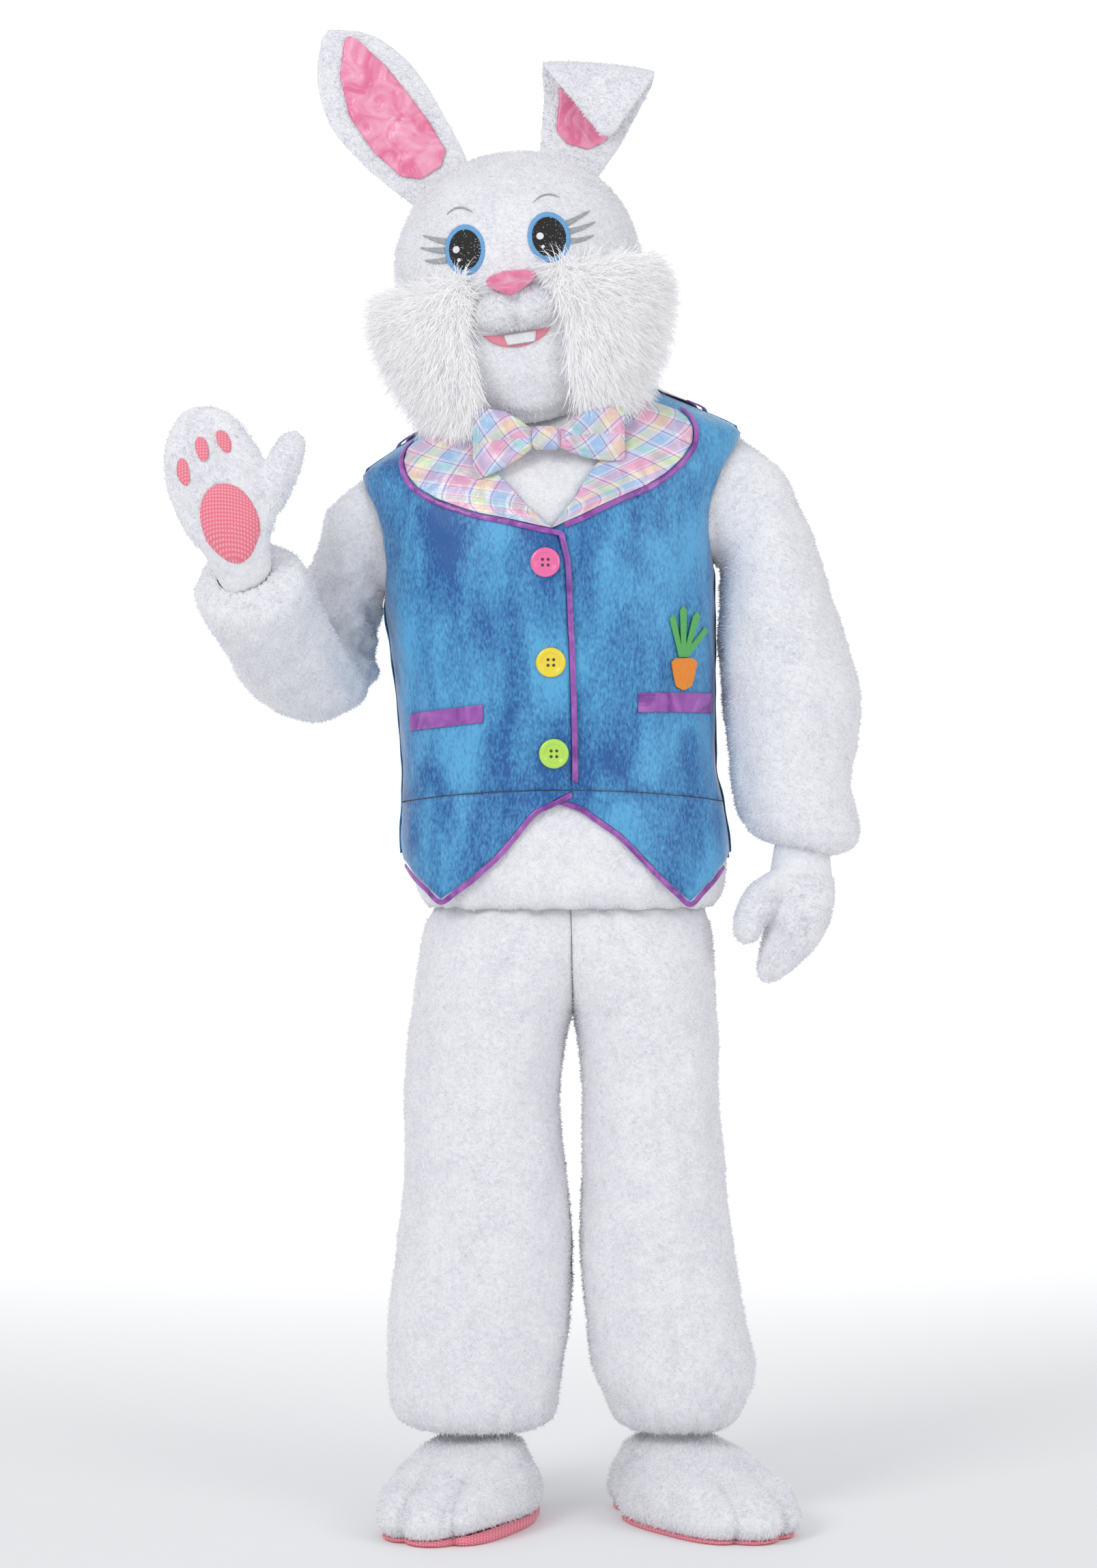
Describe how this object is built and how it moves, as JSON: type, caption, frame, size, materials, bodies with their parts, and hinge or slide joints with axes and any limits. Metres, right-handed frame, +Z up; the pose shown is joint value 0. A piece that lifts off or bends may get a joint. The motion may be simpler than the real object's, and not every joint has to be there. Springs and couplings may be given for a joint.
{
  "type": "bunny costume",
  "caption": "White plush bunny costume held in a waving pose: mask with ears, tunic, vest with bow, trousers, mitts and shoe covers.",
  "frame": {"origin": "middle of the shoulders, where the wearer holds the costume up, 1.4 m above the soles", "axes": "+Z up, +X to the wearer's left, -Y out of the front"},
  "size_m": [0.892, 0.4232, 1.956],
  "materials": {
    "plush_white": "short pile plush",
    "fur_white": "long shaggy pile",
    "velour_blue": "crushed velour",
    "satin_purple": "satin",
    "satin_plaid": "satin with a woven check",
    "satin_pink": "satin",
    "dotted_pink": "dotted knit",
    "felt_sky": "felt",
    "mesh_black": "fine mesh",
    "felt_orange": "felt",
    "felt_green": "felt",
    "felt_white": "felt",
    "button_pink": "gloss",
    "button_yellow": "gloss",
    "button_lime": "gloss"
  },
  "bodies": {
    "root": {"binding_collar": "satin_purple", "binding_hem_back": "satin_purple", "binding_hem_left": "satin_purple", "binding_hem_right": "satin_purple", "binding_left_lapel": "satin_purple", "binding_right_front": "satin_purple", "bow_knot": "satin_plaid", "bow_wing_left": "satin_plaid", "bow_wing_right": "satin_plaid", "button_bottom": "button_lime", "button_middle": "button_yellow", "button_top": "button_pink", "carrot_leaves": "felt_green", "carrot_root": "felt_orange", "cheek_fur_left": "fur_white", "cheek_fur_right": "fur_white", "collar": "satin_plaid", "ear_left": "plush_white", "ear_right": "plush_white", "ear_satin_left": "satin_pink", "ear_satin_right": "satin_pink", "eye_mesh_left": "mesh_black", "eye_mesh_right": "mesh_black", "eye_ring_left": "felt_sky", "eye_ring_right": "felt_sky", "lapel_left": "satin_plaid", "lapel_right": "satin_plaid", "lip": "satin_pink", "mask_back": "plush_white", "mask_face": "plush_white", "mitt_left": "plush_white", "mitt_right": "plush_white", "muzzle": "plush_white", "nose": "satin_pink", "pad_finger_inner_left": "dotted_pink", "pad_finger_inner_right": "dotted_pink", "pad_finger_middle_left": "dotted_pink", "pad_finger_middle_right": "dotted_pink", "pad_finger_outer_left": "dotted_pink", "pad_finger_outer_right": "dotted_pink", "pad_palm_left": "dotted_pink", "pad_palm_right": "dotted_pink", "peplum_left": "velour_blue", "peplum_right": "velour_blue", "pocket_welt_left": "satin_purple", "pocket_welt_right": "satin_purple", "shoe_sole_left": "dotted_pink", "shoe_sole_right": "dotted_pink", "shoe_upper_left": "plush_white", "shoe_upper_right": "plush_white", "sleeve_left": "plush_white", "sleeve_right": "plush_white", "tooth": "felt_white", "trouser_leg_left": "plush_white", "trouser_leg_right": "plush_white", "tunic_back": "plush_white", "tunic_front": "plush_white", "vest_back": "velour_blue", "vest_front_left": "velour_blue", "vest_front_right": "velour_blue"}
  },
  "joints": []
}
